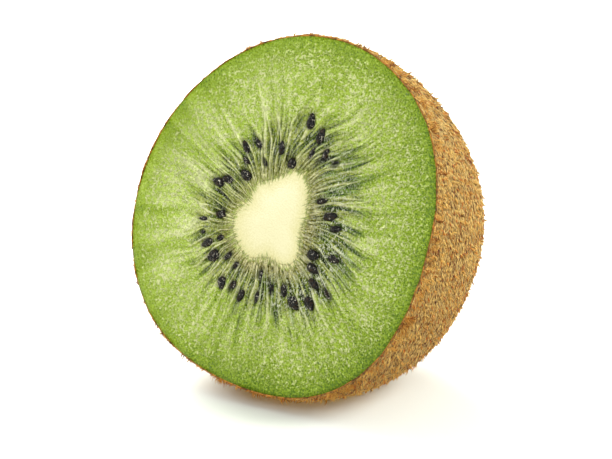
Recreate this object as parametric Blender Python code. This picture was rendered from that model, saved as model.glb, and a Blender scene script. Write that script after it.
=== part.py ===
"""Half of a kiwi fruit, cut across its middle and standing on its rounded side.

Units are metres and +Z is up. Every piece is modelled in the cut's own frame (X to the right
across the cut, Y up along it, Z out of it), which an empty then leans back. The whole stands
on the world's origin: the middle of its footprint, at the height of the table.
"""

from math import cos, pi, radians, sin

import bmesh
import bpy
from mathutils import Matrix, Vector

# The fruit: a round cut, and a body that closes to a blunt end behind it.
CUT_RADIUS = 0.0249
HALF_LENGTH = 0.0329
BLUNTNESS = 2.15          # 2 is an ellipse, and more is squarer in the shoulder
LEAN_BACK = radians(18.3)
REST_DEPTH = 0.0012       # how much of the round underside the resting flat takes off

# Lobes of an outline, each as (how many, height as a share of the radius, direction in degrees).
CUT_LOBES = ((2, 0.011, 44), (3, 0.024, 69), (4, 0.013, 36), (5, 0.004, 18))
END_LOBES = ((2, 0.055, 108), (3, 0.058, 2))
CORE_LOBES = ((2, 0.084, 60), (3, 0.110, 72), (4, 0.067, 45), (6, 0.050, 8))

# The pale core: a spindle that starts a little left of and below the cut's middle.
CORE_CENTRE = Vector((-0.0013, -0.0007, 0))
CORE_RADIUS = 0.00605
CORE_LENGTH = 0.0262
CORE_POINT = 1.6          # below 2, so the spindle draws in towards its tip
CORE_DOME = 0.0003        # the firm core stands this proud at its middle
GAP = 0.0003              # between the core and the flesh around it

# The seed chambers: sunk furrows that fan out round the core.
CHAMBERS = 28
CHAMBER_DEPTH = 0.00045
CHAMBER_END = 0.62        # how far they reach from the core to the rim, as a share

# The small scar of the stalk, sunk into the blunt end.
SCAR_RADIUS = 0.0034
SCAR_DEPTH = 0.0008

# How finely the surfaces are divided.
AROUND = 4 * CHAMBERS
BODY_RINGS = 25
END_CROWDING = 1.3        # above 1 draws the body's rings together towards the blunt end
CUT_RINGS = 7
HOLLOW_RINGS = 7
CORE_AROUND = 56
CORE_RINGS = 10
CORE_TOP_RINGS = 3
SHARP_EDGE = radians(40)

FLESH_COLOUR = (0.30, 0.42, 0.05, 1.0)
FLESH_ROUGHNESS = 0.35
CORE_COLOUR = (0.93, 0.90, 0.58, 1.0)
CORE_ROUGHNESS = 0.5


def clear_scene():
    for old in list(bpy.data.objects):
        bpy.data.objects.remove(old, do_unlink=True)


def make_material(name, colour, roughness):
    material = bpy.data.materials.new(name)
    material.use_nodes = True
    shader = material.node_tree.nodes["Principled BSDF"]
    shader.inputs["Base Color"].default_value = colour
    shader.inputs["Roughness"].default_value = roughness
    shader.inputs["Metallic"].default_value = 0.0
    material.diffuse_color = colour
    return material


def lobed(angle, lobes):
    """The share that the lobes add to or take off a round outline at this angle."""
    return sum(height * cos(count * (angle - radians(facing))) for count, height, facing in lobes)


def bulge(way, power):
    """A blunt body's width, from 1 to 0, and its depth, from 0 to 1, this share of the way back."""
    return cos(way * pi / 2) ** (2 / power), sin(way * pi / 2) ** (2 / power)


def cut_edge(angle):
    radius = CUT_RADIUS * (1 + lobed(angle, CUT_LOBES))
    return Vector((radius * cos(angle), radius * sin(angle), 0))


def core_edge(angle, gap=0.0):
    radius = CORE_RADIUS * (1 + lobed(angle, CORE_LOBES)) + gap
    return CORE_CENTRE + Vector((radius * cos(angle), radius * sin(angle), 0))


def body_point(angle, way):
    """On the skin, from the cut's edge at 0 to the blunt end at 1."""
    width, depth = bulge(1 - (1 - way) ** END_CROWDING, BLUNTNESS)
    point = cut_edge(angle) * width * (1 + depth * lobed(angle, END_LOBES))
    scar = max(1 - (point.length / SCAR_RADIUS) ** 2, 0) ** 1.5
    point.z = scar * SCAR_DEPTH - depth * HALF_LENGTH
    return point


def spindle_point(angle, way, gap=0.0):
    """On the core's side, or on the wall of its hollow, from the cut at 0 to the tip at 1."""
    width, depth = bulge(way, CORE_POINT)
    point = CORE_CENTRE.lerp(core_edge(angle, gap), width)
    point.z = -depth * (CORE_LENGTH + gap)
    return point


def hollow_point(angle, way):
    return spindle_point(angle, way, GAP)


def core_top_point(angle, way):
    """On the core's dome, from its edge at 0 to its middle at 1."""
    point = core_edge(angle).lerp(CORE_CENTRE, way)
    point.z = CORE_DOME * (1 - (1 - way) ** 2)
    return point


def cut_point(angle, way):
    """On the cut flesh, from the hollow's mouth at 0 to the rim at 1, sunk at the chambers."""
    point = core_edge(angle, GAP).lerp(cut_edge(angle), way)
    fade = sin(pi * min(way / CHAMBER_END, 1) ** 0.7)
    point.z = -CHAMBER_DEPTH * fade * (0.55 - 0.45 * cos(CHAMBERS * angle))
    return point


def make_rings(mesh, around, count, place, first=0):
    """Rings of points on one surface, from its start towards its end."""
    angles = [2 * pi * step / around for step in range(around)]
    return [
        [mesh.verts.new(place(angle, number / count)) for angle in angles]
        for number in range(first, count)
    ]


def close_skin(mesh, start, rings, end):
    """Faces from the start point through every ring to the end point."""
    around = len(rings[0])
    for step in range(around):
        after = (step + 1) % around
        mesh.faces.new((start, rings[0][step], rings[0][after]))
        mesh.faces.new((rings[-1][step], end, rings[-1][after]))
        for ring, deeper in zip(rings, rings[1:]):
            mesh.faces.new((ring[step], deeper[step], deeper[after], ring[after]))
    bmesh.ops.recalc_face_normals(mesh, faces=mesh.faces)


def flesh_shape():
    """From the hollow's tip, out of its mouth, across the cut and round to the blunt end."""
    mesh = bmesh.new()
    hollow = make_rings(mesh, AROUND, HOLLOW_RINGS, hollow_point, first=1)
    cut = make_rings(mesh, AROUND, CUT_RINGS, cut_point)
    body = make_rings(mesh, AROUND, BODY_RINGS, body_point)
    hollow_tip = mesh.verts.new(hollow_point(0, 1))
    blunt_end = mesh.verts.new(body_point(0, 1))
    close_skin(mesh, hollow_tip, hollow[::-1] + cut + body, blunt_end)
    return mesh


def core_shape():
    """From the middle of its dome, over the edge and down to the spindle's tip."""
    mesh = bmesh.new()
    top = make_rings(mesh, CORE_AROUND, CORE_TOP_RINGS, core_top_point, first=1)
    side = make_rings(mesh, CORE_AROUND, CORE_RINGS, spindle_point)
    middle = mesh.verts.new(core_top_point(0, 1))
    tip = mesh.verts.new(spindle_point(0, 1))
    close_skin(mesh, middle, top[::-1] + side, tip)
    return mesh


def leaned():
    """The turn from the cut's own frame to the upright world."""
    return Matrix.Rotation(pi / 2 - LEAN_BACK, 3, "X")


def slice_rest_flat(mesh):
    """Takes the lowest part of the round underside off, level with the table."""
    down = leaned().transposed() @ Vector((0, 0, -1))
    lowest = max(vertex.co.dot(down) for vertex in mesh.verts)
    everything = mesh.verts[:] + mesh.edges[:] + mesh.faces[:]
    sliced = bmesh.ops.bisect_plane(
        mesh, geom=everything, dist=1e-6, clear_outer=True,
        plane_co=down * (lowest - REST_DEPTH), plane_no=down)
    border = [item for item in sliced["geom_cut"] if isinstance(item, bmesh.types.BMEdge)]
    bmesh.ops.edgeloop_fill(mesh, edges=border)
    bmesh.ops.recalc_face_normals(mesh, faces=mesh.faces)


def standing_place(mesh):
    """Where the cut's middle lies when the fruit's footprint is centred on the origin."""
    points = [leaned() @ vertex.co for vertex in mesh.verts]
    low = [min(point[axis] for point in points) for axis in range(3)]
    high = [max(point[axis] for point in points) for axis in range(3)]
    return Vector((-(low[0] + high[0]) / 2, -(low[1] + high[1]) / 2, -low[2]))


def make_cut_frame(place):
    frame = bpy.data.objects.new("cut_frame", None)
    frame.location = place
    frame.rotation_euler = leaned().to_euler()
    bpy.context.scene.collection.objects.link(frame)
    return frame


def make_piece(name, shape, material, cut_frame):
    mesh = bpy.data.meshes.new(name)
    shape.to_mesh(mesh)
    shape.free()
    mesh.materials.append(material)
    mesh.shade_smooth()
    mesh.set_sharp_from_angle(angle=SHARP_EDGE)
    piece = bpy.data.objects.new(name, mesh)
    piece.parent = cut_frame
    bpy.context.scene.collection.objects.link(piece)


def main():
    clear_scene()
    flesh = flesh_shape()
    slice_rest_flat(flesh)
    cut_frame = make_cut_frame(standing_place(flesh))
    make_piece("flesh", flesh, make_material("flesh", FLESH_COLOUR, FLESH_ROUGHNESS), cut_frame)
    make_piece("core", core_shape(), make_material("core", CORE_COLOUR, CORE_ROUGHNESS), cut_frame)


main()
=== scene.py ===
from math import cos, pi, radians, sin, tau

import bpy
import numpy as np
from mathutils import Matrix, Vector


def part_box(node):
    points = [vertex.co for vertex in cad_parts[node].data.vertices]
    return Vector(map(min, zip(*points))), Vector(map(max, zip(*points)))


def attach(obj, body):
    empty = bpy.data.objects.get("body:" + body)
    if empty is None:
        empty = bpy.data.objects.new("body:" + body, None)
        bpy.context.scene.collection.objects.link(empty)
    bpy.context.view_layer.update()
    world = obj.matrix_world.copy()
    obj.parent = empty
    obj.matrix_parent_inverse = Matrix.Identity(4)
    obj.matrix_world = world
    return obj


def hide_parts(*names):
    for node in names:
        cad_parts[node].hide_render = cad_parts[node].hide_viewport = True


# Half of a kiwi fruit. The cut has its own frame: X to the right across it, Y up along it and
# Z out of it. Points are worked out there, as arrays, and then leaned back into the world.

MM = 0.001

# -------- sizes, as in the solid model; a lobe is a count round the outline, a share and a direction

CUT_RADIUS = 24.9 * MM
HALF_LENGTH = 32.9 * MM
BLUNTNESS = 2.15
LEAN_BACK = radians(18.3)
CUT_LOBES = ((2, 0.011, 44), (3, 0.024, 69), (4, 0.013, 36), (5, 0.004, 18))
END_LOBES = ((2, 0.055, 108), (3, 0.058, 2))
CORE_LOBES = ((2, 0.084, 60), (3, 0.11, 72), (4, 0.067, 45), (6, 0.05, 8))
CORE_CENTRE = np.array((-1.3, -0.7, 0.0)) * MM
CORE_RADIUS = 6.05 * MM
CORE_LENGTH = 26.2 * MM
CORE_POINT = 1.6
SCAR_RADIUS = 3.4 * MM
SCAR_DEPTH = 0.8 * MM

# -------- sizes of the fine surface

# How finely the pieces are divided. On the cut a way is 0 at the core's edge and 1 at the skin, and
# it goes down to -CORE_WAY inside the core. On the skin it is 0 at the cut and 1 at the blunt end.
AROUND = 1300
CORE_TOP_RINGS = 20
CHAMBER_RINGS = 48
CHAMBER_END = 0.52
OUTER_RINGS = 14
CORE_WAY = 0.33
HOLLOW_RINGS = 4
HOLLOW_END = 0.5
WALL_RINGS = 5
WALL_END = 0.9
END_RINGS = (0.97, 0.995)
SKIN_AROUND = 360
SKIN_RINGS = 90
SKIN_INNER_RINGS = 12

# The maps for the export: how much of the cut fills a map's square, how far apart its hidden rings
# lie, and how far the last end's fan stands out.
FLESH_MAP = 54 * MM
CORE_MAP = 18 * MM
MAP_STEP = 0.005
MAP_FAN = 1.004

SKIN = 0.18 * MM
FIBRES = 86
FIBRE_WIDTH = 0.12 * MM
FIBRE_HEIGHT = 0.16 * MM
GROOVE_DEPTH = 0.26 * MM
PIT_DEPTH = 0.22 * MM
SWELL_HEIGHT = 0.03 * MM
CORE_DOME = 0.3 * MM
STREAK_RADIUS = 9 * MM
STREAK_STRETCH = 5
SEED_FLATNESS = 0.62
SEED_SCALE = 0.94

# The hairs slant round the fruit. Their tufts turn off it, and the hairs turn off their tuft.
HAIR_SLANT = radians(155)
HAIR_STRETCH = 3
TUFT_TURN = 0.32
HAIR_TURN = 0.22
ROOT_SCATTER = 0.07 * MM
ONE_SHADE = 0.3
FUZZ_END = 0.966
FRUIT_MIDDLE = (0, 0, -12 * MM)

# Each piece of fuzz: name, number of tufts, hairs in each, random seed, length, width, and how
# steeply it stands, in radians.
FUZZ = (
    ("fuzz_felt", 20000, 1, 41, 0.6 * MM, 0.14 * MM, 0.16),
    ("fuzz_hairs", 7000, 2, 42, 0.55 * MM, 0.11 * MM, 0.45),
    ("fuzz_tufts", 2400, 6, 44, 0.68 * MM, 0.1 * MM, 1.05),
)

RIM_TUFTS = 330
RIM_EACH = 9
RIM_CLUMPS = 11
RIM_IN_CLUMPS = 0.4
RIM_LONG_SHARE = 0.1

# Where the fibres lean as they run outward: facing and spread of each stretch, and lean, in degrees.
LEANS = ((62, 26, -16), (20, 30, -9), (-25, 25, -10), (140, 18, 6), (172, 16, -10), (250, 30, 4))

# Each seed: direction in degrees, distance from the cut's middle, length and width in mm, turn off
# the radial line in degrees, and how much of it shows.
SEEDS = (
    (82, 13.5, 2.4, 1.3, 5, 1.0), (71.5, 12.2, 2.4, 1.25, 8, 1.0), (72, 9.6, 1.9, 0.8, 0, 0.4),
    (61, 10.6, 2.0, 1.0, 5, 0.45), (49, 10.8, 1.6, 1.0, -20, 0.3), (103, 9.4, 2.1, 1.0, -5, 0.8),
    (90, 7.3, 1.6, 1.5, 0, 1.0), (123, 11.0, 1.9, 1.0, 10, 0.5), (133.5, 11.7, 2.1, 1.0, -10, 0.9),
    (123, 8.1, 1.6, 0.7, 0, 0.25), (147, 8.6, 2.2, 1.45, 0, 1.0), (160, 10.8, 2.1, 1.15, 15, 0.7),
    (165, 12.0, 2.2, 1.3, 5, 0.95), (187, 10.3, 1.8, 1.2, 0, 0.9), (190, 13.2, 1.6, 0.7, 0, 0.7),
    (205, 10.6, 1.2, 0.8, 0, 0.8), (205.5, 12.9, 2.2, 1.15, 5, 1.0), (215, 12.4, 2.1, 1.65, 0, 1.0),
    (198, 13.3, 1.0, 0.6, 0, 0.35), (221, 10.2, 1.9, 1.0, 10, 0.3), (232, 10.0, 1.5, 0.9, 0, 0.4),
    (233, 13.2, 2.0, 1.35, 40, 1.0), (240.5, 12.3, 1.9, 1.1, 0, 0.35), (249.5, 12.6, 2.0, 1.1, 0, 0.8),
    (261.5, 11.7, 2.1, 0.8, 5, 0.5), (258, 8.5, 1.6, 0.8, 0, 0.25), (272.5, 10.1, 1.9, 0.75, 5, 0.5),
    (284, 10.3, 2.0, 1.1, 0, 0.7), (291.5, 12.2, 2.4, 1.55, 30, 1.0), (302.5, 13.0, 2.3, 1.35, 10, 1.0),
    (310.5, 10.9, 2.3, 1.15, 20, 0.9), (316, 9.0, 2.3, 1.35, 20, 0.9), (324, 7.6, 2.3, 1.55, 30, 1.0),
    (334.5, 10.6, 2.1, 1.05, 15, 0.85), (316, 13.4, 2.0, 1.0, 0, 0.3), (357, 9.0, 2.1, 1.1, 10, 0.6),
    (8, 7.8, 2.5, 1.25, 5, 0.9), (26, 6.6, 1.8, 0.9, -10, 0.6), (139.5, 10.1, 1.5, 0.7, 0, 0.3),
)

# The camera sees the cut from this direction and height in degrees, this far off, with the cut's
# middle a little left of and above the picture's own.
CAMERA_FACING = -54.6
CAMERA_HEIGHT = 15
CAMERA_DISTANCE = 350 * MM
CAMERA_SHIFT = (-3.31 * MM, 1.86 * MM)
CAMERA_LENS = 151.3

# The room's light: from the sides, from above and from below, where the ground tints it. The dark
# card stands where the wet cut would mirror it.
SIDE_LIGHT = 0.45
TOP_LIGHT = 0.75
GROUND_LIGHT = 0.7
GROUND_TINT = (1.0, 0.84, 0.66, 1)
DARK_CARD = (-0.56, -0.79, 0.26)
WHITE = (1, 1, 1, 1)
FLOOR_COLOUR = (0.92, 0.95, 0.88, 1)

# Each lamp: name, direction and height in degrees, width in metres, power in watts, what it lights.
LAMP_DISTANCE = 0.6
LAMPS = (
    ("key", 226, 38, 0.18, 2.1, "fruit"),
    ("fill", 307, 28, 0.35, 1.0, "all"),
    ("side", 37, 35, 0.35, 2.15, "all"),
    ("sweep", 150, 30, 0.45, 9.1, "floor"),
    ("rear", 40, 30, 0.4, 1.2, "floor"),
)


# -------- outlines

def lobed(angle, lobes):
    """The share that the lobes add to or take off a round outline."""
    return sum(height * np.cos(count * (angle - radians(facing))) for count, height, facing in lobes)


def place_at(radius, angle):
    return np.stack((radius * np.cos(angle), radius * np.sin(angle), np.zeros_like(angle)), axis=-1)


def cut_edge(angle):
    return place_at(CUT_RADIUS * (1 + lobed(angle, CUT_LOBES)), angle)


def core_edge(angle):
    return CORE_CENTRE + place_at(CORE_RADIUS * (1 + lobed(angle, CORE_LOBES)), angle)


def bulge(way, power):
    """A blunt body's width, from 1 to 0, and its depth, from 0 to 1, this share of the way back."""
    return np.abs(np.cos(way * pi / 2)) ** (2 / power), np.abs(np.sin(way * pi / 2)) ** (2 / power)


def body_points(angle, way, under=0.0):
    """On the skin, or this far under it, from the cut's edge at 0 to the blunt end at 1."""
    angle, way = np.broadcast_arrays(angle, way)
    width, depth = bulge(way, BLUNTNESS)
    outline = cut_edge(angle)
    outline = outline * (1 - under / length_of(outline))[..., None]
    points = outline * (width * (1 + depth * lobed(angle, END_LOBES)))[..., None]
    scar = np.clip(1 - (length_of(points) / SCAR_RADIUS) ** 2, 0, 1) ** 1.5
    points[..., 2] = scar * SCAR_DEPTH - depth * (HALF_LENGTH - under)
    return points


def angles(around):
    return np.arange(around) * (tau / around)


def length_of(vectors):
    return np.linalg.norm(vectors, axis=-1)


def unit(vectors):
    return vectors / length_of(vectors)[..., None]


# -------- the cut's place in the world

def cut_place():
    """The matrix from the cut's frame to the world, read off the solid model's own boxes."""
    edge = cut_edge(angles(720))
    flesh_low, flesh_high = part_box("flesh")
    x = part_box("core")[0][0] - core_edge(angles(720))[:, 0].min()
    y = flesh_low[1] - edge[:, 1].min() * sin(LEAN_BACK)
    z = flesh_high[2] - edge[:, 1].max() * cos(LEAN_BACK)
    return Matrix.Translation((x, y, z)) @ Matrix.Rotation(pi / 2 - LEAN_BACK, 4, "X")


def to_world(points, place):
    matrix = np.array(place)
    return points @ matrix[:3, :3].T + matrix[:3, 3]


# -------- meshes from arrays

def closed_faces(rows, columns):
    """Rings, and a fan at each end of them round two last points that lie in the ends' middles."""
    ring = np.arange(columns)
    after = (ring + 1) % columns
    row = np.arange(rows - 1)[:, None] * columns
    quads = np.stack((row + ring, row + columns + ring, row + columns + after, row + after), axis=-1)
    count = rows * columns
    last = count - columns
    first_end = np.stack((after, np.full(columns, count), ring), axis=-1)
    last_end = np.stack((last + ring, np.full(columns, count + 1), last + after), axis=-1)
    return quads.reshape(-1, 4), np.concatenate((first_end, last_end))


def make_mesh(name, points, face_groups, material):
    """A piece from points in the world and groups of faces with equally many corners."""
    mesh = bpy.data.meshes.new(name)
    corners = np.concatenate([faces.ravel() for faces in face_groups])
    sizes = np.concatenate([np.full(len(faces), faces.shape[1]) for faces in face_groups])
    mesh.vertices.add(len(points))
    mesh.vertices.foreach_set("co", points.astype(np.float32).ravel())
    mesh.loops.add(len(corners))
    mesh.loops.foreach_set("vertex_index", corners.astype(np.int32))
    mesh.polygons.add(len(sizes))
    mesh.polygons.foreach_set("loop_start", (np.cumsum(sizes) - sizes).astype(np.int32))
    mesh.polygons.foreach_set("use_smooth", np.ones(len(sizes), dtype=bool))
    mesh.update(calc_edges=True)
    mesh.validate()
    mesh.materials.append(material)
    piece = bpy.data.objects.new(name, mesh)
    bpy.context.scene.collection.objects.link(piece)
    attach(piece, "root")
    return piece


def make_flat(piece, faces):
    """Shades these faces flat, so that the smooth ones beside them keep their own edge."""
    for face in piece.data.polygons[faces]:
        face.use_smooth = False
    piece.data.update()


def add_field(piece, name, values):
    """A number or a place for each point, which the material reads by name."""
    kind, part = ("FLOAT", "value") if values.ndim == 1 else ("FLOAT_VECTOR", "vector")
    layer = piece.data.attributes.new(name, kind, "POINT")
    layer.data.foreach_set(part, values.astype(np.float32).ravel())


def add_ring_field(piece, name, rings):
    """A field on a round piece, whose two last points take their values from the nearest rings."""
    points = rings.reshape(-1, *rings.shape[2:])
    add_field(piece, name, np.concatenate((points, rings[[0, -1], 0])))


def add_map(piece, places, fan=0):
    """A map for the export, which takes each point to its place in a square of side 1.

    In the last so many triangles, a round piece's last fan, the middle goes outside their ring.
    """
    mesh = piece.data
    corners = np.empty(len(mesh.loops), dtype=np.int32)
    mesh.loops.foreach_get("vertex_index", corners)
    places = places[corners]
    if fan:
        last = places[-3 * fan:].reshape(fan, 3, 2)
        last[:, 1] = 0.5 + ((last[:, 0] + last[:, 2]) / 2 - 0.5) * MAP_FAN
    layer = mesh.uv_layers.new(name="OFBake")
    layer.data.foreach_set("uv", places.astype(np.float32).ravel())


def add_ring_map(piece, flat):
    """A map for the export with each ring of a round piece where flat puts it."""
    ends = np.stack((flat[0].mean(axis=0), flat[-1].mean(axis=0)))
    add_map(piece, np.concatenate((flat.reshape(-1, 2), ends)), flat.shape[1])


def add_hair_map(piece, count, each):
    """A map for the export with every hair in a small cell of its own."""
    cells = int(np.ceil(np.sqrt(count)))
    hair = np.arange(count)
    cell = np.stack((hair % cells, hair // cells), axis=-1)
    level, corner = np.divmod(np.arange(each), 3)
    spot = np.stack((0.2 + 0.3 * corner, 0.2 + 0.3 * level), axis=-1)
    spot[-1] = 0.5, 0.8
    add_map(piece, ((cell[:, None] + spot) / cells).reshape(-1, 2))


def scaled_rings(ring, centre, scales):
    return centre + (ring - centre) * scales[:, None, None]


# -------- noise on a grid of rings

def grid_noise(seed, shape, along, across):
    """Even noise, drawn out over so many rows and columns, which meets itself round the ring."""
    rows, columns = shape
    rough = np.random.default_rng(seed).standard_normal((2 * rows, columns))
    rows_wave = np.fft.fftfreq(2 * rows)[:, None] * along
    columns_wave = np.fft.rfftfreq(columns)[None, :] * across
    smooth = np.exp(-2 * pi ** 2 * (rows_wave ** 2 + columns_wave ** 2))
    noise = np.fft.irfft2(np.fft.rfft2(rough) * smooth, s=rough.shape)[:rows]
    return noise / noise.std()


def step_up(low, high, value):
    """0 below low, 1 above high, and smooth between."""
    share = np.clip((value - low) / (high - low), 0, 1)
    return share * share * (3 - 2 * share)


def hump(middle, spread, value):
    return np.exp(-(((value - middle) / spread) ** 2))


# -------- the pattern of the cut

def turn_between(first, second):
    return (first - second + pi) % tau - pi


def sector(angle, facing, spread):
    """1 towards a direction of the cut, in degrees, and 0 away from it."""
    return hump(0, radians(spread), turn_between(angle, radians(facing)))


class CutPattern:
    """What the cut shows at each point of a grid of rings.

    The way is negative in the core, 0 at the core's edge and 1 at the skin. Most fields are 0 to 1.
    """

    def __init__(self, angle, way, points, from_core):
        self.way = way
        self.points = points
        self.shape = angle.shape
        cream_past_edge = 0.15 * MM * sector(angle, 190, 45) + 0.3 * MM * sector(angle, 302, 11)
        self.from_core = from_core * (1 - 0.35 * sector(angle, 185, 55)) - cream_past_edge
        self.radius = length_of(points[..., :2])
        drift = 0.026 * self.noise(3, 30, 50) + 0.014 * self.noise(4, 9, 18)
        for facing, spread, lean in LEANS:
            drift -= radians(lean) * sector(angle, facing, spread) * step_up(0.0, 0.6, way)
        self.angle = angle + drift * step_up(-0.05, 0.3, way)
        self.in_flesh = step_up(0.0, 0.05, way)
        self.find_fibres()
        self.find_grooves()
        self.find_reach()
        self.find_seeds()

    def noise(self, seed, along, across):
        return grid_noise(seed, self.shape, along, across)

    def find_fibres(self):
        """Pale walls that fan out from the core, in pairs that often meet beyond their chamber."""
        pick = np.random.default_rng(11)
        gap = tau / FIBRES
        starts = (np.arange(FIBRES) + pick.uniform(-0.38, 0.38, FIBRES)) * gap
        self.fibres = np.zeros(self.shape)
        self.walls = []
        for number, start in enumerate(starts):
            meet = (0.5 - number % 2) * gap * pick.choice((0.0, 0.5, 1.0, 1.3))
            bend = pick.uniform(0.008, 0.028)
            bend *= np.sin(self.way * pick.uniform(9, 22) + pick.uniform(0, tau))
            middle = start + meet * step_up(0.12, 0.5, self.way) + bend * step_up(0, 0.15, self.way)
            width = FIBRE_WIDTH * pick.uniform(0.6, 1.3) * (1 + 0.6 * self.way)
            end = pick.uniform(0.38, 0.8)
            fade = self.in_flesh * (1 - step_up(end - 0.3, end + 0.05, self.way))
            line = np.exp(-(turn_between(self.angle, middle) * self.radius / width) ** 4)
            self.fibres = np.maximum(self.fibres, pick.uniform(0.45, 1.0) * fade * line)
            self.walls.append(middle)
        broken = 0.92 + 0.18 * self.noise(5, 8, 3)
        self.fibres = np.clip(self.fibres * np.clip(broken, 0.1, 1.3), 0, 1)

    def find_grooves(self):
        """The chambers between the walls: some wet and dark, most green, all tapering off outward."""
        pick = np.random.default_rng(12)
        self.grooves = np.zeros(self.shape)
        for left, right in zip(self.walls, self.walls[1:] + self.walls[:1]):
            gap = turn_between(right, left)
            off = np.abs(turn_between(self.angle, left + gap / 2)) / (np.abs(gap) / 2 + 1e-3)
            end = pick.uniform(0.26, 0.56)
            wave = 0.65 + 0.35 * np.sin(self.way * pick.uniform(14, 30) + pick.uniform(0, tau))
            dark = pick.choice((0.1, 0.3, 0.6, 1.0)) * wave * step_up(0.03, 0.14, self.way)
            dark *= (1 - step_up(end - 0.16, end, self.way)) * (1 - step_up(0.35, 1.0, off))
            self.grooves = np.maximum(self.grooves, dark)
        self.grooves *= 1 - 0.55 * sector(self.angle, 38, 30)
        self.grooves = np.clip(self.grooves * (0.9 + 0.25 * self.noise(6, 6, 5)), 0, 1)

    def find_reach(self):
        """How far beyond the chambers' zone a point is, as a way. It is negative inside the zone."""
        reach = 0.37 + 0.03 * self.noise(13, 60, 14) + 0.03 * sector(self.angle, 0, 60)
        reach += 0.07 * sector(self.angle, 85, 30) + 0.02 * sector(self.angle, 290, 30)
        self.beyond = self.way - reach

    def find_seeds(self):
        """The seeds' pits, and dark round each seed: the sunken ones seen through the flesh, painted
        shade in the pits.
        """
        self.seed_tint_and_shade = np.zeros(self.shape)
        self.pit = np.zeros(self.shape)
        for turn, distance, length, width, twist, shows in SEEDS:
            along, across = seed_offsets(self.points, turn, distance, twist)
            size = np.hypot(along / (length * MM / 2), across / (width * MM / 2))
            self.pit = np.maximum(self.pit, (1 - step_up(0.8, 1.5, size)) * (0.35 + 0.65 * shows))
            self.seed_tint_and_shade = np.maximum(self.seed_tint_and_shade, (1 - step_up(0.7, 1.5, size)) * (0.9 - 0.4 * shows))

    def inner_tone(self):
        """Light and dark in the chambers' zone."""
        tone = 0.38 + 0.66 * self.fibres - 0.36 * self.grooves + 0.05 * self.noise(9, 14, 26)
        # Painted light: a little paler to the upper left and a little darker to the right, as the light
        # falls from the left.
        tone += 0.08 * sector(self.angle, 140, 75) - 0.04 * sector(self.angle, 0, 50)
        near_core = 0.12 + 0.12 * sector(self.angle, 270, 50) + 0.14 * sector(self.angle, 0, 45)
        tone += near_core * (1 - step_up(0.03, 0.22, self.way))
        return tone + 0.16 * step_up(0.12, 0.4, self.way)

    def outer_tone(self):
        """Light and dark in the outer flesh, palest where the chambers end."""
        tone = 0.27 + 0.16 * hump(0.6, 0.25, self.way) + 0.03 * self.noise(17, 12, 30)
        # Painted light: paler to the left, a little paler at the top and darker at the bottom, as the
        # light falls from the left and above. The darkening by the skin is the flesh's own.
        tone += 0.27 * sector(self.angle, 182, 62) + 0.03 * sector(self.angle, 95, 40)
        tone -= 0.08 * sector(self.angle, 275, 55) + 0.16 * step_up(0.75, 1.0, self.way)
        tone += (0.02 + 0.05 * sector(self.angle, 185, 60)) * self.noise(18, 5, 4)
        return tone + 0.42 * self.fibres - 0.4 * self.grooves

    def height(self):
        """How high the surface stands: swells, fibres and the core's dome, less grooves and pits."""
        swell = SWELL_HEIGHT * self.noise(16, 12, 12) * self.in_flesh
        swell *= 1 - step_up(0.93, 1.0, self.way)
        dome = CORE_DOME * (1 - step_up(-0.35, 0.05, self.way))
        sunk = GROOVE_DEPTH * self.grooves + PIT_DEPTH * self.pit
        return swell + FIBRE_HEIGHT * self.fibres + dome - sunk

    def browned(self):
        """Where the flesh by the core has a brownish tint, most below it and at its right."""
        by_side = 0.45 + 0.5 * sector(self.angle, 265, 45) + 0.4 * sector(self.angle, 0, 45)
        return (1 - step_up(0.04, 0.2, self.way)) * by_side

    def fields(self):
        """What the material reads at each point, by name."""
        return {
            "outer_tone": self.outer_tone(),
            "inner_tone": self.inner_tone(),
            "seed_tint_and_shade": self.seed_tint_and_shade,
            "from_core": self.from_core,
            "beyond": self.beyond,
            "way": self.way,
            "crisp": 1.2 - 0.5 * sector(self.angle, 170, 65),
            "teal": np.maximum(sector(self.angle, 20, 60), 0.7 * sector(self.angle, 280, 50)),
            "browned": self.browned(),
            # Where the painted highlights go: in the chambers' zone, most towards the lower right.
            "wet": hump(0.26, 0.2, self.way) * (0.4 + 0.6 * sector(self.angle, 335, 60)),
            "spot": self.points * (1, 1, 0),
            "streak": self.streak(),
        }

    def streak(self):
        """Where noise is taken to draw it out along the fibres."""
        streak = place_at(STREAK_RADIUS, self.angle)
        streak[..., 2] = self.radius / STREAK_STRETCH
        return streak


def seed_offsets(points, turn, distance, twist):
    """How far points lie along and across a seed."""
    middle = place_at(distance * MM, radians(turn))[:2]
    heading = radians(turn + twist)
    offset = points[..., :2] - middle
    along = offset[..., 0] * cos(heading) + offset[..., 1] * sin(heading)
    across = offset[..., 1] * cos(heading) - offset[..., 0] * sin(heading)
    return along, across


# -------- material nodes

def paint(red, green, blue):
    """A colour as a screen shows it, 0 to 255, turned into the linear one that shaders take."""
    return tuple((part / 255) ** 2.2 for part in (red, green, blue)) + (1.0,)


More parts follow.
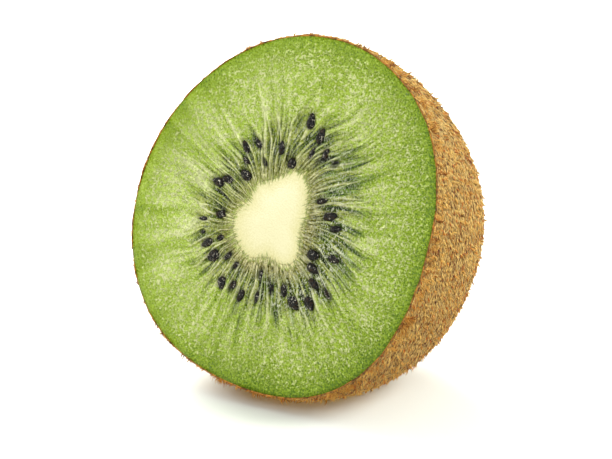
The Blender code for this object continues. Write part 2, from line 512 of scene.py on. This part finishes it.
class NodeWork:
    """A node tree, with short ways to add the nodes it needs."""

    def __init__(self, tree):
        self.tree = tree

    def node(self, kind, inputs=None, **settings):
        node = self.tree.nodes.new(kind)
        for key, value in settings.items():
            setattr(node, key, value)
        for key, value in (inputs or {}).items():
            self.feed(node.inputs[key], value)
        return node

    def feed(self, socket, value):
        if isinstance(value, bpy.types.NodeSocket):
            self.tree.links.new(value, socket)
        else:
            socket.default_value = value

    def math(self, operation, *values):
        return self.node("ShaderNodeMath", dict(enumerate(values)), operation=operation).outputs[0]

    def times(self, first, second):
        return self.math("MULTIPLY", first, second)

    def sum(self, *terms):
        total = terms[0]
        for term in terms[1:]:
            total = self.math("ADD", total, term)
        return total

    def step(self, value, low, high, first=0.0, last=1.0, kind="SMOOTHSTEP"):
        """A step from first at low to last at high, smooth unless it is of another kind."""
        inputs = {"Value": value, "From Min": low, "From Max": high, "To Min": first, "To Max": last}
        return self.node("ShaderNodeMapRange", inputs, interpolation_type=kind).outputs["Result"]

    def mix(self, factor, first, second, blend="MIX"):
        """Mixes two colours. Sockets 0, 6, 7 and 2 are the node's factor, colours and result."""
        inputs = {0: factor, 6: first, 7: second}
        return self.node("ShaderNodeMix", inputs, data_type="RGBA", blend_type=blend).outputs[2]


class Paintwork(NodeWork):
    """A material made of nodes."""

    def __init__(self, name):
        self.material = bpy.data.materials.new(name)
        self.material.use_nodes = True
        super().__init__(self.material.node_tree)
        self.coordinates = self.node("ShaderNodeTexCoord").outputs["Object"]

    def value(self, name):
        return self.node("ShaderNodeAttribute", attribute_name=name).outputs["Fac"]

    def place(self, name):
        return self.node("ShaderNodeAttribute", attribute_name=name).outputs["Vector"]

    def noise(self, size, detail=2.0, roughness=0.55, distortion=0.0, where=None):
        """Noise whose features are about this many metres across."""
        inputs = {
            "Vector": where or self.coordinates, "Scale": 1 / size, "Detail": detail,
            "Roughness": roughness, "Distortion": distortion}
        return self.node("ShaderNodeTexNoise", inputs).outputs["Fac"]

    def spread(self, value, amount):
        """Noise moved to lie round 0 and scaled."""
        return self.math("MULTIPLY_ADD", value, amount, -0.5 * amount)

    def curls(self, size, width, where):
        """Thin curly lines: 1 where a noise crosses its own middle, and 0 away from it."""
        noise = self.spread(self.noise(size, 1.0, 0.5, 0.7, where), 1.0)
        return self.step(self.math("ABSOLUTE", noise), 0.0, width, 1.0, 0.0)

    def stretched(self, scale, where):
        return self.node("ShaderNodeMapping", {"Vector": where, "Scale": scale}).outputs["Vector"]

    def ramp(self, factor, *stops):
        """Colours from stop to stop. A stop is a position, 0 to 1, and a screen's three colours."""
        node = self.node("ShaderNodeValToRGB", {"Fac": factor})
        elements = node.color_ramp.elements
        while len(elements) < len(stops):
            elements.new(0.5)
        for element, (position, *colour) in zip(elements, stops):
            element.position = position
            element.color = paint(*colour)
        return node.outputs["Color"]

    def bump(self, height, distance, under=None):
        """A normal from a height of up to this many metres, over another normal if one is given."""
        inputs = {"Height": height, "Distance": distance, "Strength": 1.0}
        if under:
            inputs["Normal"] = under
        return self.node("ShaderNodeBump", inputs).outputs["Normal"]

    def finish(self, **sockets):
        shader = self.tree.nodes["Principled BSDF"]
        for name, value in sockets.items():
            self.feed(shader.inputs[name.replace("_", " ")], value)
        return self.material


class CutPaint(Paintwork):
    """The wet cut: cream core, fibrous seed chambers and granular outer flesh.

    The pattern's fields say what lies where, and noise breaks up their edges and tones.
    """

    def __init__(self, name):
        super().__init__(name)
        self.spot = self.place("spot")
        self.streak = self.place("streak")
        self.long_streak = self.stretched((1, 1, 0.4), self.streak)
        self.grain = self.noise(0.26 * MM, 2.0, 0.6, 0.4, self.spot)
        self.fringe = self.noise(0.26 * MM, 1.0, 0.5, 0.3, self.streak)
        self.threads = self.step(self.noise(0.2 * MM, 1.0, 0.5, 0.3, self.long_streak), 0.4, 0.6)
        self.strands = self.noise(0.45 * MM, 1.0, 0.5, 0.3, self.long_streak)
        self.from_core = self.sum(
            self.value("from_core"), self.spread(self.fringe, 3.2 * MM),
            self.spread(self.grain, 0.8 * MM))
        self.in_flesh = self.step(self.from_core, 0.0, 0.5 * MM)
        self.in_chambers = self.find_chambers()
        self.flecks = self.find_flecks()
        self.glints = self.find_glints()

    def find_chambers(self):
        """1 in the seed chambers, 0 in the core and in the outer flesh."""
        beyond = self.sum(
            self.value("beyond"), self.spread(self.strands, 0.5), self.spread(self.grain, 0.2))
        return self.times(self.step(beyond, -0.1, 0.12, 1.0, 0.0), self.in_flesh)

    def find_flecks(self):
        """The pale edges of the juice sacs with painted highlights on them, in patches, and fewer by
        the skin.
        """
        dashes = self.curls(0.19 * MM, 0.09, self.stretched((1, 1, 1.4), self.streak))
        curls = self.curls(0.38 * MM, 0.075, self.spot)
        patchy = self.step(self.noise(0.55 * MM, 1.0, 0.5, 0.4, self.spot), 0.36, 0.6, 0.2, 1.0)
        flecks = self.sum(self.times(curls, 0.8), dashes)
        flecks = self.times(flecks, self.step(self.value("way"), 0.88, 1.0, 1.0, 0.3))
        return self.times(self.times(flecks, patchy), self.in_flesh)

    def find_glints(self):
        """Painted highlights: small pale marks on the chambers' walls and between them, where the cut
        is wettest.
        """
        sparks = self.noise(0.18 * MM, 0.0, 0.5, 0.3, self.stretched((-1, 1, 2), self.streak))
        dots = self.noise(0.38 * MM, 0.0, 0.5, 1.2, self.stretched((2, -1, 1), self.spot))
        on_walls = self.times(
            self.step(sparks, 0.5, 0.58), self.step(self.value("inner_tone"), 0.6, 0.86))
        glints = self.sum(self.step(dots, 0.57, 0.62), on_walls)
        return self.times(self.times(glints, self.value("wet")), self.in_chambers)

    def outer_flesh(self):
        gaps = self.noise(0.27 * MM, 1.0, 0.5, 0.4, self.stretched((-1, -1, -1), self.spot))
        grainy = self.sum(
            # The flecks lighten the tone: pale sac edges and painted highlights on them.
            self.spread(self.grain, 1.15), self.times(self.flecks, 0.64),
            self.times(self.step(gaps, 0.54, 0.68), -0.24))
        streaky = self.times(
            self.step(self.value("way"), 0.45, 0.9, 1.0, 0.0), self.spread(self.strands, 1.3))
        tone = self.sum(
            self.value("outer_tone"), streaky, self.times(grainy, self.value("crisp")))
        return self.ramp(
            tone, (0.0, 78, 112, 0), (0.2, 119, 150, 12), (0.4, 146, 175, 36),
            (0.6, 168, 199, 70), (0.8, 199, 222, 110), (1.0, 238, 248, 178))

    def inner_flesh(self):
        """The chambers' flesh: bluish where it is wet and deep, and khaki by the core."""
        tone = self.sum(
            self.value("inner_tone"), self.spread(self.threads, 0.38),
            self.spread(self.strands, 0.5), self.spread(self.grain, 0.5))
        green = self.ramp(
            tone, (0.0, 18, 26, 4), (0.22, 56, 74, 14), (0.45, 108, 126, 30),
            (0.7, 170, 183, 80), (1.0, 236, 240, 170))
        teal = self.times(self.step(self.strands, 0.54, 0.4), self.value("teal"))
        green = self.mix(teal, green, paint(180, 214, 180), "MULTIPLY")
        khaki = self.ramp(
            self.sum(self.fringe, self.spread(self.grain, 0.4)),
            (0.38, 80, 74, 18), (0.5, 156, 148, 68), (0.6, 240, 234, 172))
        return self.mix(self.value("browned"), green, khaki)

    def cream(self):
        """The core, a little darker towards its edge."""
        edge_shade = self.step(self.value("from_core"), -3.2 * MM, 0.6 * MM, 0.18, -0.24)
        tone = self.sum(
            edge_shade, self.spread(self.grain, 0.5), self.spread(self.fringe, 0.25), 0.5)
        return self.ramp(tone, (0.1, 196, 190, 122), (0.35, 230, 226, 168), (0.66, 243, 240, 194))

    def colour(self):
        colour = self.mix(self.in_chambers, self.outer_flesh(), self.inner_flesh())
        # Painted highlights: the glints are mixed into the colour as a pale tint.
        colour = self.mix(self.glints, colour, paint(242, 248, 214))
        # Dark round the seeds: sunken seeds seen through the flesh, and painted shade in the pits round
        # the others.
        colour = self.mix(self.value("seed_tint_and_shade"), colour, paint(30, 38, 18))
        in_core = self.step(self.from_core, -0.5 * MM, 0.4 * MM, 1.0, 0.0)
        return self.mix(in_core, colour, self.cream())

    def lumps(self):
        lumps = self.sum(
            self.times(self.flecks, 0.7), self.times(self.grain, 1.3), self.times(self.glints, 0.6),
            self.times(self.in_chambers, self.times(self.threads, 0.3)))
        return self.times(lumps, self.step(self.from_core, -0.5 * MM, 0.8 * MM, 0.2, 1.0))


def cut_material(name):
    work = CutPaint(name)
    rough = work.step(work.grain, 0.35, 0.65, 0.18, 0.34)
    normal = work.bump(work.lumps(), 0.18 * MM)
    return work.finish(Base_Color=work.colour(), Roughness=rough, Normal=normal, IOR=1.36)


def skin_material():
    """Golden felt with dark and reddish tufts along the hairs, a torn rim, and a woody scar."""
    work = Paintwork("kiwi_skin")
    tufts = work.noise(0.15 * MM, 0.0, 0.5, 0.3, work.place("lay"))
    colour = work.ramp(
        work.sum(tufts, work.spread(work.noise(4.0 * MM, 3.0), 0.14)),
        (0.38, 72, 34, 0), (0.44, 132, 76, 16), (0.49, 200, 151, 66), (0.58, 248, 214, 126))
    red = work.step(work.noise(0.3 * MM, 1.0), 0.6, 0.68, 0.0, 0.5)
    colour = work.mix(red, colour, paint(196, 104, 40))
    rim = work.ramp(work.noise(0.6 * MM), (0.36, 92, 54, 12), (0.6, 210, 140, 56))
    colour = work.mix(work.value("rim"), colour, rim)
    bark = work.noise(0.5 * MM, 3.0, 0.6, 1.0)
    wood = work.ramp(bark, (0.36, 40, 26, 14), (0.52, 104, 72, 40), (0.66, 150, 112, 70))
    colour = work.mix(work.value("woody"), colour, wood)
    knots = work.sum(tufts, work.times(bark, work.value("woody")))
    return work.finish(Base_Color=colour, Roughness=0.85, Normal=work.bump(knots, 0.3 * MM))


def seed_material():
    """Near-black seeds, with painted highlights on part of the wet net of ridges between their pits."""
    work = Paintwork("kiwi_seed")
    inputs = {"Scale": 1 / (0.3 * MM), "Vector": work.coordinates}
    cells = work.node("ShaderNodeTexVoronoi", inputs, feature="DISTANCE_TO_EDGE")
    pits = cells.outputs["Distance"]
    mottle = work.noise(0.45 * MM, 2.0)
    colour = work.mix(work.step(mottle, 0.54, 0.66), paint(8, 6, 4), paint(54, 38, 20))
    # Painted highlight: pale thin lines along the ridges, where the mottle is dark.
    glint = work.times(work.step(pits, 0.02, 0.09, 1.0, 0.0), work.step(mottle, 0.46, 0.36))
    colour = work.mix(glint, colour, paint(226, 220, 200))
    normal = work.bump(work.step(pits, 0.0, 0.3), -0.1 * MM, work.bump(mottle, 0.2 * MM))
    return work.finish(Base_Color=colour, Roughness=0.28, Normal=normal, IOR=1.33)


def fuzz_material(name, dark, red, gold, light):
    """Mostly golden hairs, with some dark and some reddish ones among them."""
    work = Paintwork(name)
    colour = work.ramp(
        work.value("shade"), (0.0, *dark), (0.15, *dark), (0.19, *red), (0.25, *red),
        (0.3, *gold), (0.48, *gold), (0.64, *light))
    return work.finish(Base_Color=colour, Roughness=0.7)


# -------- pieces

def spindle_wall(deeper):
    """Rings down the core's side, these shares of the way to its tip."""
    angle = angles(AROUND)[None, :]
    width, depth = bulge(deeper[:, None], CORE_POINT)
    rings = CORE_CENTRE + (core_edge(angle) - CORE_CENTRE) * width[..., None]
    rings[..., 2] = -depth * CORE_LENGTH
    return rings


def add_pattern(piece, pattern, rows, before, after):
    """Gives a piece the pattern's fields. Its hidden rings take the nearest ring's."""
    for name, field in pattern.fields().items():
        shown = field[rows]
        parts = (np.repeat(shown[:1], before, axis=0), shown, np.repeat(shown[-1:], after, axis=0))
        add_ring_field(piece, name, np.concatenate(parts))


def make_round_piece(name, rings, place, material, floor, last_end=None):
    """A closed piece from rings that run from its first end to its last."""
    if last_end is None:
        last_end = rings[-1].mean(axis=0)
    points = np.concatenate((rings.reshape(-1, 3), (rings[0].mean(axis=0), last_end)))
    world = to_world(points, place)
    world[:, 2] = np.maximum(world[:, 2], floor)
    return make_mesh(name, world, closed_faces(*rings.shape[:2]), material)


def cut_grid():
    """Every ring of the cut, from inside the core out to the skin, and the pattern on them."""
    angle = angles(AROUND)[None, :]
    share = np.linspace(0, 1, CORE_TOP_RINGS + 1)[1:-1, None]
    way = np.concatenate((
        np.linspace(0, CHAMBER_END, CHAMBER_RINGS),
        np.linspace(CHAMBER_END, 1, OUTER_RINGS + 1)[1:]))[:, None]
    edge = core_edge(angle)
    rim = body_points(angle, 0.0, SKIN)
    core = CORE_CENTRE + (edge - CORE_CENTRE) * share[..., None]
    flesh = edge + (rim - edge) * way[..., None]
    points = np.concatenate((core, flesh))
    ways = np.concatenate(((share - 1) * CORE_WAY, way))
    angle, ways = np.broadcast_arrays(angle, ways)
    from_core = np.concatenate((
        length_of(edge - CORE_CENTRE) * (share - 1), length_of(rim - edge) * way))
    pattern = CutPattern(angle, ways, points, from_core)
    points[..., 2] = pattern.height()
    return points, pattern


def make_cut(place):
    """The flesh and the core: two closed bodies whose cut surfaces meet ring to ring."""
    points, pattern = cut_grid()
    hollow = spindle_wall(np.linspace(0, HOLLOW_END, HOLLOW_RINGS + 1)[1:])
    hollow[..., 2] -= GROOVE_DEPTH
    make_flesh(place, points, pattern, hollow)
    make_core(place, points, pattern, hollow)


def make_flesh(place, points, pattern, hollow):
    rows = slice(CORE_TOP_RINGS - 1, None)
    deep = np.concatenate((np.linspace(0, WALL_END, WALL_RINGS + 1)[1:], END_RINGS))[:, None]
    side = body_points(angles(AROUND)[None, :], deep, SKIN)
    rings = np.concatenate((hollow[::-1], points[rows], side))
    piece = make_round_piece("flesh", rings, place, cut_material("kiwi_flesh"), SKIN)
    make_flat(piece, slice(0, HOLLOW_RINGS * AROUND))
    add_pattern(piece, pattern, rows, HOLLOW_RINGS, len(side))
    core_rim = points[CORE_TOP_RINGS - 1, :, :2]
    within = scaled_rings(core_rim, CORE_CENTRE[:2], np.linspace(0.6, 0.95, HOLLOW_RINGS))
    beyond = scaled_rings(points[-1, :, :2], 0, 1 + MAP_STEP * np.arange(1, len(side) + 1))
    flat = np.concatenate((within, points[rows, :, :2], beyond))
    add_ring_map(piece, 0.5 + flat / FLESH_MAP)
    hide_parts("flesh")


def make_core(place, points, pattern, hollow):
    rows = slice(0, CORE_TOP_RINGS)
    rings = np.concatenate((points[rows], hollow))
    piece = make_round_piece("core", rings, place, cut_material("kiwi_core"), 0)
    first_side = (CORE_TOP_RINGS - 1) * AROUND
    make_flat(piece, slice(first_side, first_side + HOLLOW_RINGS * AROUND))
    add_pattern(piece, pattern, rows, 0, HOLLOW_RINGS)
    centre = CORE_CENTRE[:2]
    below = scaled_rings(
        points[CORE_TOP_RINGS - 1, :, :2], centre, 1 + 4 * MAP_STEP * np.arange(1, HOLLOW_RINGS + 1))
    flat = np.concatenate((points[rows, :, :2], below))
    add_ring_map(piece, 0.5 + (flat - centre) / CORE_MAP)
    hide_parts("core")


def lay_places(rings):
    """Where the skin's noise is taken: drawn out along the hairs, which slant round the fruit."""
    back = -rings[..., 2]
    lay = place_at(CUT_RADIUS, angles(SKIN_AROUND) - back / CUT_RADIUS / np.tan(HAIR_SLANT))
    lay[..., 2] = back / sin(HAIR_SLANT) / HAIR_STRETCH
    return lay


def skin_rings():
    """The skin's inside, from its blunt end to the cut, and its outside, from the cut back again."""
    angle = angles(SKIN_AROUND)[None, :]
    outer_way = np.concatenate(((0, 0.001), np.linspace(0, 1, SKIN_RINGS + 1)[1:-1]))[:, None]
    inner_way = np.concatenate((np.linspace(0, WALL_END, SKIN_INNER_RINGS), END_RINGS))[:, None]
    outer = body_points(angle, outer_way)
    inner = body_points(angle, inner_way, SKIN)
    ragged = grid_noise(21, (4, SKIN_AROUND), 1, 1.5)
    outer[0, :, 2] += 0.1 * MM * ragged[0] + 0.05 * MM
    inner[0, :, 2] += 0.06 * MM * ragged[1] + 0.02 * MM
    return inner[::-1], outer


def make_skin(place):
    """A thin rind with a torn edge at the cut and a woody stalk scar at its blunt end."""
    inner, outer = skin_rings()
    rings = np.concatenate((inner, outer))
    blunt_end = body_points(np.zeros(1), np.ones(1))[0]
    piece = make_round_piece("skin", rings, place, skin_material(), 0, blunt_end)
    rim = np.zeros(rings.shape[:2])
    rim[len(inner) - 1:len(inner) + 1] = 1
    woody = 1 - step_up(0.35, 0.75, length_of(rings[..., :2]) / SCAR_RADIUS)
    add_ring_field(piece, "rim", rim)
    add_ring_field(piece, "woody", woody)
    add_ring_field(piece, "lay", lay_places(rings))
    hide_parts("flesh")


def seed_shape(rows=18, columns=28):
    """A drop of unit length, width and thickness: rings from its tip to its round end."""
    way = np.linspace(0, pi, rows + 2)[1:-1, None]
    turn = angles(columns)[None, :]
    half_width = 0.5 * np.sin(way) * (1 - 0.22 * np.cos(way))
    points = np.stack(np.broadcast_arrays(
        -0.5 * np.cos(way), half_width * np.cos(turn), half_width * np.sin(turn)), axis=-1)
    ends = ((-0.5, 0, 0), (0.5, 0, 0))
    return np.concatenate((points.reshape(-1, 3), ends)), closed_faces(rows, columns)


def seed_points(shape, pick, turn, distance, length, width, twist, shows):
    """One seed in its place on the cut, a little lumpy and tilted, and sunk if it shows less."""
    lumps = 1 + 0.04 * np.sin(shape @ pick.uniform(-9, 9, 3) + pick.uniform(0, tau))[:, None]
    points = shape * lumps * (length, width, SEED_FLATNESS * width) * SEED_SCALE * MM
    heading = Matrix.Rotation(radians(turn + twist + 180), 3, "Z")
    tilt = Matrix.Rotation(radians(pick.uniform(-6, 6)), 3, "Y")
    height = (-0.3 + 0.26 * shows) * width - 0.08
    middle = (place_at(distance, radians(turn)) + (0, 0, height)) * MM
    return points @ np.array(heading @ tilt).T + middle


def make_seeds(place):
    shape, faces = seed_shape()
    pick = np.random.default_rng(31)
    points = np.concatenate([seed_points(shape, pick, *seed) for seed in SEEDS])
    starts = np.arange(len(SEEDS))[:, None, None] * len(shape)
    groups = [(starts + part).reshape(-1, part.shape[1]) for part in faces]
    make_mesh("seeds", to_world(points, place), groups, seed_material())


# -------- fuzz

def skin_samples(count, pick):
    """Points spread evenly over the skin, with its two directions and its normal there."""
    angle_edges = np.linspace(0, tau, 181)
    way_edges = np.linspace(0, FUZZ_END, 91)
    grid = body_points(*np.meshgrid(angle_edges, way_edges))
    down, right = np.diff(grid, axis=0)[:, :-1], np.diff(grid, axis=1)[:-1]
    area = length_of(np.cross(down, right))
    chosen = pick.choice(area.size, size=count, p=area.ravel() / area.sum())
    row, column = np.unravel_index(chosen, area.shape)
    angle = angle_edges[column] + pick.random(count) * angle_edges[1]
    way = way_edges[row] + pick.random(count) * way_edges[1]
    small = 1e-3
    points = body_points(angle, way)
    around = unit(body_points(angle + small, way) - points)
    back = unit(body_points(angle, way + small) - points)
    normal = unit(np.cross(around, back))
    outward = np.sign((normal * (points - FRUIT_MIDDLE)).sum(axis=-1, keepdims=True))
    return points, around, back, normal * outward


def spikes(roots, lying, lift, side, reach, thick, bend):
    """Three-sided spikes that curve towards their lift: the points of each, and all their faces."""
    rings = []
    for step in (0, 0.5):
        centre = roots + reach * step * (lying * np.cos(bend * step) + lift * np.sin(bend * step))
        fat = thick * (1 - 0.5 * step) / 2
        rings += [centre + fat * (side * cos(turn) + lift * sin(turn)) for turn in angles(3)]
    rings.append(roots + reach * (lying * np.cos(bend) + lift * np.sin(bend)))
    points = np.stack(rings, axis=1)
    return points, spike_faces(*points.shape[:2])


def spike_faces(count, each):
    """The sides and the tips of so many spikes with so many points in each."""
    corners = [(corner, (corner + 1) % 3) for corner in range(3)]
    sides = [(one, two, two + 3, one + 3) for one, two in corners]
    tips = [(one + 3, two + 3, each - 1) for one, two in corners]
    starts = np.arange(count)[:, None, None] * each
    return [(starts + np.array(part)).reshape(-1, len(part[0])) for part in (sides, tips)]


def finish_hairs(name, points, groups, shade, place, material):
    """One piece from all its hairs, each with a shade of its own, and none through the floor."""
    world = to_world(points.reshape(-1, 3), place)
    world[:, 2] = np.maximum(world[:, 2], 0.02 * MM)
    piece = make_mesh(name, world, groups, material)
    add_hair_map(piece, *points.shape[:2])
    add_field(piece, "shade", np.repeat(np.clip(shade, 0, 1), points.shape[1]))


def make_fuzz(place, material, name, tufts, each, seed, length, width, lift):
    """Tufts of hairs that lean over and lie along the skin, joined into one piece."""
    pick = np.random.default_rng(seed)
    on_skin = skin_samples(tufts, pick)
    count = tufts * each
    heading = np.repeat(HAIR_SLANT + pick.normal(0, TUFT_TURN, tufts), each)
    heading += pick.normal(0, HAIR_TURN, count)
    rise = np.repeat(np.abs(pick.normal(lift, lift * 0.6, tufts)), each) + pick.normal(0, 0.08, count)
    rise = np.maximum(rise, 0.03)[:, None]
    shade = np.where(
        pick.random(count) < ONE_SHADE, np.repeat(pick.random(tufts), each), pick.random(count))
    roots, around, back, normal = (np.repeat(array, each, axis=0) for array in on_skin)
    roots += ROOT_SCATTER * (
        around * pick.normal(0, 1, (count, 1)) + back * pick.normal(0, 1, (count, 1)))
    flat = around * np.cos(heading)[:, None] + back * np.sin(heading)[:, None]
    lying = flat * np.cos(rise) + normal * np.sin(rise)
    side = np.cross(flat, normal)
    size = np.repeat(pick.uniform(0.6, 1.4, tufts), each)
    reach = (length * size * pick.uniform(0.8, 1.2, count))[:, None]
    thick = (width * pick.uniform(0.7, 1.2, count))[:, None]
    points, groups = spikes(roots, lying, np.cross(side, lying), side, reach, thick, -0.45 * rise)
    finish_hairs(name, points, groups, shade, place, material)


def rim_angles(pick):
    """Where the tufts stand round the rim, some of them gathered in a few clumps."""
    clumps = np.arange(RIM_CLUMPS) * tau / RIM_CLUMPS + pick.normal(0, 0.12, RIM_CLUMPS)
    gathered = clumps[pick.integers(RIM_CLUMPS, size=RIM_TUFTS)] + pick.normal(0, 0.03, RIM_TUFTS)
    spread = pick.uniform(0, tau, RIM_TUFTS)
    return np.where(pick.random(RIM_TUFTS) < RIM_IN_CLUMPS, gathered, spread)


def rim_directions(pick, outward, along):
    """Which way each hair of the rim points: outward, leaning along the rim or back from it."""
    count = len(outward)
    slant = np.repeat(pick.normal(-0.3, 0.7, RIM_TUFTS), RIM_EACH) + pick.normal(0, 0.35, count)
    lying = outward * pick.uniform(0.4, 1.0, (count, 1)) + along * slant[:, None]
    return unit(lying + pick.uniform(-0.2, 0.5, (count, 1)) * (0, 0, -1))


def make_rim_hairs(place, material):
    """Tufts that stand out all round the cut's edge, mostly short, with a few long fine hairs."""
    pick = np.random.default_rng(43)
    count = RIM_TUFTS * RIM_EACH
    angle = np.repeat(rim_angles(pick), RIM_EACH) + pick.normal(0, 0.006, count)
    roots = body_points(angle, pick.uniform(0, 0.03, count))
    outward = place_at(1.0, angle)
    along = place_at(1.0, angle + pi / 2)
    lying = rim_directions(pick, outward, along)
    is_long = pick.random((count, 1)) < RIM_LONG_SHARE
    size = np.repeat(0.5 + 1.1 * pick.random(RIM_TUFTS) ** 2, RIM_EACH)[:, None]
    reach = np.where(is_long, 1.0, 0.6 * size) * pick.uniform(0.7, 1.3, (count, 1)) * MM
    thick = np.where(is_long, 0.05, 0.13) * pick.uniform(0.8, 1.2, (count, 1)) * MM
    bend = 0.3 * pick.normal(0, 1, (count, 1))
    side = unit(np.cross(lying, outward + 0.3 * along))
    points, groups = spikes(roots, lying, np.cross(side, lying), side, reach, thick, bend)
    shade = np.repeat(pick.random(RIM_TUFTS), RIM_EACH) + pick.normal(0, 0.08, count)
    finish_hairs("rim_hairs", points, groups, shade, place, material)


def make_all_fuzz(place):
    """A felt that hides the skin, hairs in it, tufts that stand out of it, and the rim's fringe."""
    felt = fuzz_material("felt", (86, 40, 2), (190, 88, 18), (210, 160, 74), (252, 217, 132))
    hair = fuzz_material("hair", (92, 44, 4), (208, 100, 24), (226, 166, 70), (254, 216, 120))
    rim = fuzz_material("rim", (126, 76, 18), (180, 100, 20), (204, 142, 52), (234, 184, 88))
    for material, fuzz in zip((felt, hair, hair), FUZZ):
        make_fuzz(place, material, *fuzz)
    make_rim_hairs(place, rim)


# -------- room

def make_floor():
    """A white floor that catches the shadow but throws no light of its own on the fruit."""
    bpy.ops.mesh.primitive_plane_add(size=4, location=(0, 0, -0.02 * MM))
    floor = bpy.context.object
    floor.name = "floor"
    floor.data.materials.append(Paintwork("floor").finish(
        Base_Color=FLOOR_COLOUR, Roughness=0.9, Specular_IOR_Level=0))
    floor.visible_diffuse = False
    return floor


def direction(facing, height):
    """Towards this direction and height, in degrees, where 0 is to the cut's right, +X."""
    turn, tilt = radians(facing), radians(height)
    return Vector((cos(turn) * cos(tilt), sin(turn) * cos(tilt), sin(tilt)))


def make_lamp(floor, name, facing, height, width, power, lit):
    """A soft round lamp aimed at the fruit. It lights "all", the "floor" or the "fruit" alone."""
    light = bpy.data.lights.new(name, "AREA")
    light.shape = "DISK"
    light.size = width
    light.energy = power
    lamp = bpy.data.objects.new(name, light)
    towards = direction(facing, height)
    lamp.location = towards * LAMP_DISTANCE
    lamp.rotation_euler = towards.to_track_quat("Z", "Y").to_euler()
    bpy.context.scene.collection.objects.link(lamp)
    if lit != "all":
        receivers = bpy.data.collections.new(name + "_receivers")
        receivers.objects.link(floor)
        link = receivers.collection_objects[0].light_linking
        link.link_state = "INCLUDE" if lit == "floor" else "EXCLUDE"
        lamp.light_linking.receiver_collection = receivers


class Room(NodeWork):
    """The world's nodes."""

    def towards(self, axis, low, high, first, last):
        """Goes from first to last as the world is seen closer to this axis."""
        inputs = {0: self.node("ShaderNodeTexCoord").outputs["Generated"], 1: axis}
        node = self.node("ShaderNodeVectorMath", inputs, operation="DOT_PRODUCT")
        return self.step(node.outputs["Value"], low, high, first, last, "LINEAR")


def make_world():
    """A white room, brighter overhead, brighter and warm below, with a dark card at one side.

    The camera itself sees plain white behind the fruit.
    """
    world = bpy.data.worlds.new("studio")
    world.use_nodes = True
    room = Room(world.node_tree)
    overhead = room.towards((0, 0, 1), -0.1, 0.5, SIDE_LIGHT, TOP_LIGHT)
    card = room.towards(Vector(DARK_CARD).normalized(), 0.5, 0.9, 1, 0.2)
    ground = room.towards((0, 0, -1), 0.0, 0.1, 0, GROUND_LIGHT - SIDE_LIGHT)
    below = room.towards((0, 0, -1), 0.0, 0.1, 0, 1)
    light = room.tree.nodes["Background"]
    room.feed(light.inputs["Color"], room.mix(below, WHITE, GROUND_TINT))
    room.feed(light.inputs["Strength"], room.math("MULTIPLY_ADD", overhead, card, ground))
    backdrop = room.node("ShaderNodeBackground", {"Color": WHITE})
    to_camera = room.node("ShaderNodeLightPath").outputs["Is Camera Ray"]
    parts = {0: to_camera, 1: light.outputs[0], 2: backdrop.outputs[0]}
    shown = room.node("ShaderNodeMixShader", parts).outputs[0]
    room.feed(room.tree.nodes["World Output"].inputs["Surface"], shown)
    bpy.context.scene.world = world


def make_camera(place):
    back = direction(CAMERA_FACING, CAMERA_HEIGHT)
    right = direction(CAMERA_FACING + 90, 0)
    up = back.cross(right)
    data = bpy.data.cameras.new("camera")
    data.lens = CAMERA_LENS
    data.clip_start = 0.01
    data.clip_end = 10
    camera = bpy.data.objects.new("camera", data)
    aside = right * CAMERA_SHIFT[0] + up * CAMERA_SHIFT[1]
    camera.location = place.translation - aside + back * CAMERA_DISTANCE
    camera.rotation_euler = (-back).to_track_quat("-Z", "Y").to_euler()
    bpy.context.scene.collection.objects.link(camera)
    bpy.context.scene.camera = camera


def main():
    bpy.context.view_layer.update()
    place = cut_place()
    make_camera(place)
    make_cut(place)
    make_skin(place)
    make_seeds(place)
    make_all_fuzz(place)
    floor = make_floor()
    make_world()
    for lamp in LAMPS:
        make_lamp(floor, *lamp)
    bpy.context.scene.view_settings.view_transform = "Standard"


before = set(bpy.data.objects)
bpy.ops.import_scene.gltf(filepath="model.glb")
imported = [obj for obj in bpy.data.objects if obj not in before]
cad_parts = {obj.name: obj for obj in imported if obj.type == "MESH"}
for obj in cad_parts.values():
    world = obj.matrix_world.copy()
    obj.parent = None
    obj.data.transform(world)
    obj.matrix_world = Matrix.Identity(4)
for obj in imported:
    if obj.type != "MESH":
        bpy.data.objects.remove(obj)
main()
